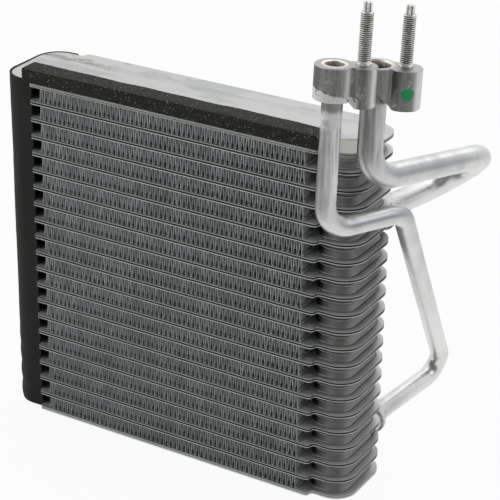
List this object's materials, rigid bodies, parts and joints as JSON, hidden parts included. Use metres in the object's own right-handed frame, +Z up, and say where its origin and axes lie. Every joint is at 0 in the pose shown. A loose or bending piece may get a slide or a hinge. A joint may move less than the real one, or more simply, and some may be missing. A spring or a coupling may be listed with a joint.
{
  "type": "evaporator core",
  "caption": "Laminated evaporator core with stacked cup plates, corrugated fins, two bent pipes and block fittings with studs.",
  "frame": {"origin": "centre of the underside of the bottom end plate", "axes": "+X along the tubes towards the tank end, +Y from the front face to the rear, +Z up the stack of tubes"},
  "size_m": [0.3147, 0.1885, 0.3505],
  "materials": {
    "tube_aluminium": "matte brazed",
    "fin_aluminium": "matte brazed",
    "end_plate_aluminium": "matte, lightly stained",
    "pipe_aluminium": "satin drawn tube",
    "collar_aluminium": "satin",
    "block_aluminium": "extruded, machined top",
    "stud_steel": "zinc plated",
    "foam": "open-cell foam",
    "wrap_foam": "closed-cell foam sheet"
  },
  "bodies": {
    "root": {"tube_01": "tube_aluminium", "tube_02": "tube_aluminium", "tube_03": "tube_aluminium", "tube_04": "tube_aluminium", "tube_05": "tube_aluminium", "tube_06": "tube_aluminium", "tube_07": "tube_aluminium", "tube_08": "tube_aluminium", "tube_09": "tube_aluminium", "tube_10": "tube_aluminium", "tube_11": "tube_aluminium", "tube_12": "tube_aluminium", "tube_13": "tube_aluminium", "tube_14": "tube_aluminium", "tube_15": "tube_aluminium", "tube_16": "tube_aluminium", "tube_17": "tube_aluminium", "tube_18": "tube_aluminium", "tube_19": "tube_aluminium", "fin_01": "fin_aluminium", "fin_02": "fin_aluminium", "fin_03": "fin_aluminium", "fin_04": "fin_aluminium", "fin_05": "fin_aluminium", "fin_06": "fin_aluminium", "fin_07": "fin_aluminium", "fin_08": "fin_aluminium", "fin_09": "fin_aluminium", "fin_10": "fin_aluminium", "fin_11": "fin_aluminium", "fin_12": "fin_aluminium", "fin_13": "fin_aluminium", "fin_14": "fin_aluminium", "fin_15": "fin_aluminium", "fin_16": "fin_aluminium", "fin_17": "fin_aluminium", "fin_18": "fin_aluminium", "fin_19": "fin_aluminium", "fin_20": "fin_aluminium", "top_end_plate": "end_plate_aluminium", "bottom_end_plate": "end_plate_aluminium", "inlet_pipe": "pipe_aluminium", "outlet_pipe": "pipe_aluminium", "inlet_collar": "collar_aluminium", "outlet_collar": "collar_aluminium", "inlet_block": "block_aluminium", "outlet_block": "block_aluminium", "inlet_stud": "stud_steel", "outlet_stud": "stud_steel", "top_foam_strip": "foam", "end_foam_wrap": "wrap_foam"}
  },
  "joints": []
}
